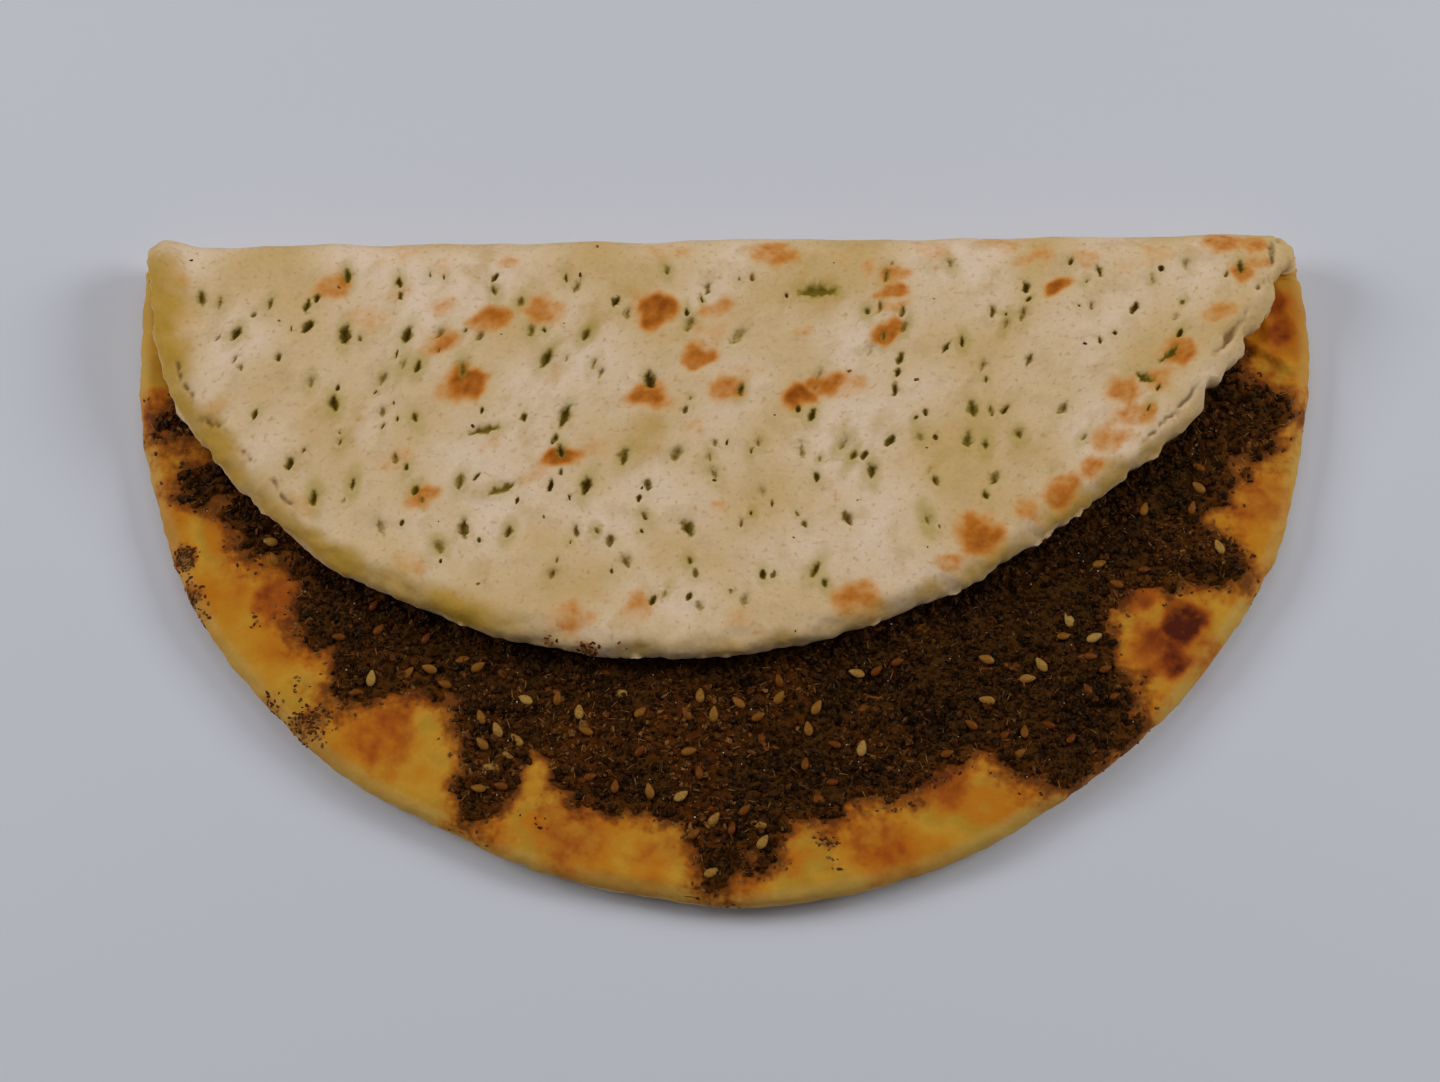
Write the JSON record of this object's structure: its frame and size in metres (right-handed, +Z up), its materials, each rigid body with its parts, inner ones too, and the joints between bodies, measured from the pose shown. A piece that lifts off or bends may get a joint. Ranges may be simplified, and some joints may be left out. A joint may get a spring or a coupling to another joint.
{
  "type": "folded zaatar flatbread",
  "caption": "Round flatbread spread with zaatar and folded once, its pricked pale underside on top and the dark seeded topping showing in front.",
  "frame": {"origin": "on the resting plane, below the middle of the folded bread's box", "axes": "+X along the fold, to the viewer's right; +Y from the open rim towards the fold; +Z up"},
  "size_m": [0.2484, 0.1462, 0.0182],
  "materials": {
    "flatbread": "baked wheat dough: a dry, floury, cream-coloured underside with toasted spots and oily prick marks, and a golden rim",
    "zaatar": "dark brown crumbly paste of ground thyme, sumac and oil with toasted sesame seeds"
  },
  "bodies": {
    "root": {"flatbread": "flatbread", "zaatar": "zaatar"}
  },
  "joints": []
}
